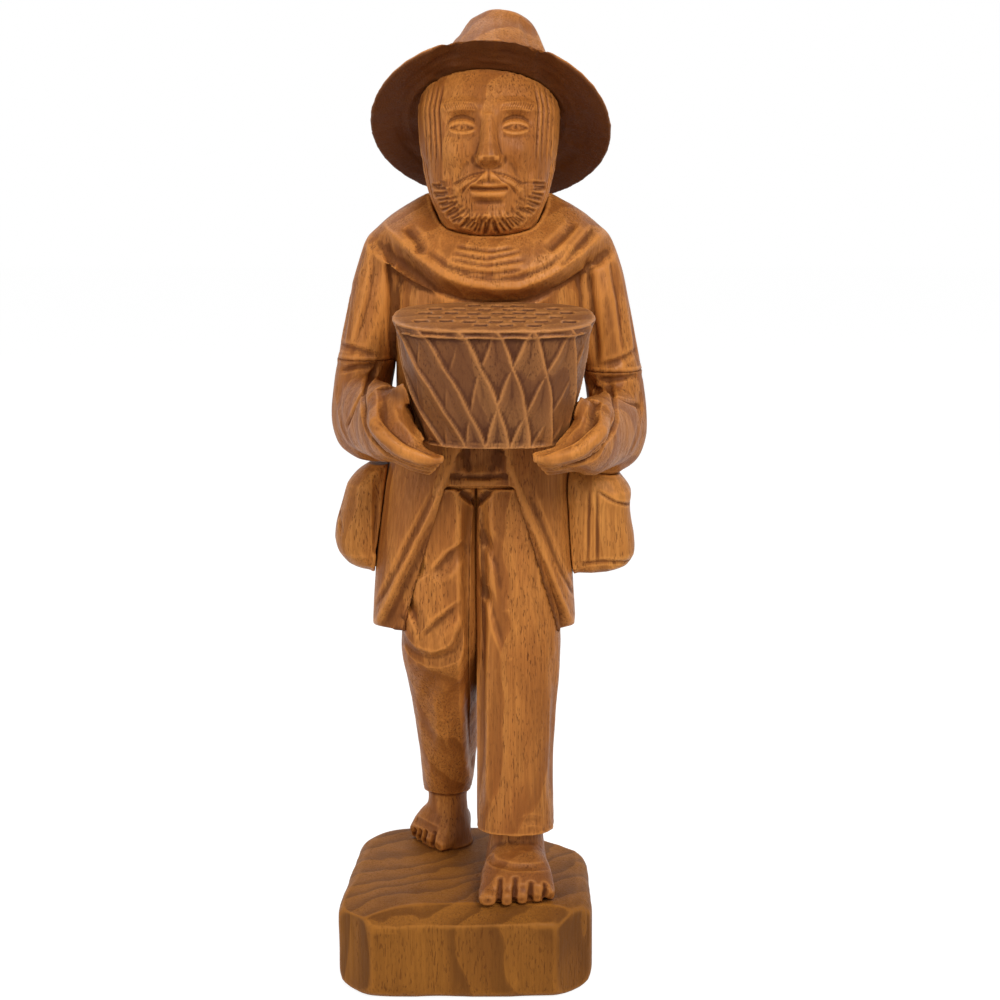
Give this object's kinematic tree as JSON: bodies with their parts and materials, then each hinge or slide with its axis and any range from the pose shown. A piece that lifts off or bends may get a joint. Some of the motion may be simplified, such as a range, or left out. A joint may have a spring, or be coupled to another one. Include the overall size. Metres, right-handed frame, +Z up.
{
  "type": "carved wooden figurine",
  "caption": "Hand-carved wooden figurine of a bearded old man in a brimmed hat and open coat, walking barefoot on a block with a basket in both hands.",
  "frame": {"origin": "middle of the plinth's flat underside, where it rests", "axes": "+Z up along the figure, -Y the way that the figure faces, +X towards the figure's left side"},
  "size_m": [0.099, 0.1053, 0.3013],
  "materials": {
    "carved_wood": "warm orange-brown hardwood, gouge-cut, stained dark in the cuts and waxed to a satin sheen",
    "basket_wood": "the same hardwood with a darker, cooler stain, satin",
    "dowel_wood": "plain unstained hardwood, hidden inside"
  },
  "bodies": {
    "root": {"plinth": "carved_wood", "right_leg": "carved_wood", "left_leg": "carved_wood", "coat_body": "carved_wood", "head": "carved_wood", "hat": "carved_wood", "right_forearm": "carved_wood", "left_forearm": "carved_wood", "right_bag": "carved_wood", "left_bag": "carved_wood", "basket": "basket_wood", "hat_dowel": "dowel_wood", "neck_dowel": "dowel_wood", "right_elbow_dowel": "dowel_wood", "left_elbow_dowel": "dowel_wood", "basket_dowel_right": "dowel_wood", "basket_dowel_left": "dowel_wood", "right_waist_dowel": "dowel_wood", "left_waist_dowel": "dowel_wood", "right_foot_dowel": "dowel_wood", "left_foot_dowel": "dowel_wood", "right_bag_dowel": "dowel_wood", "left_bag_dowel": "dowel_wood"}
  },
  "joints": []
}
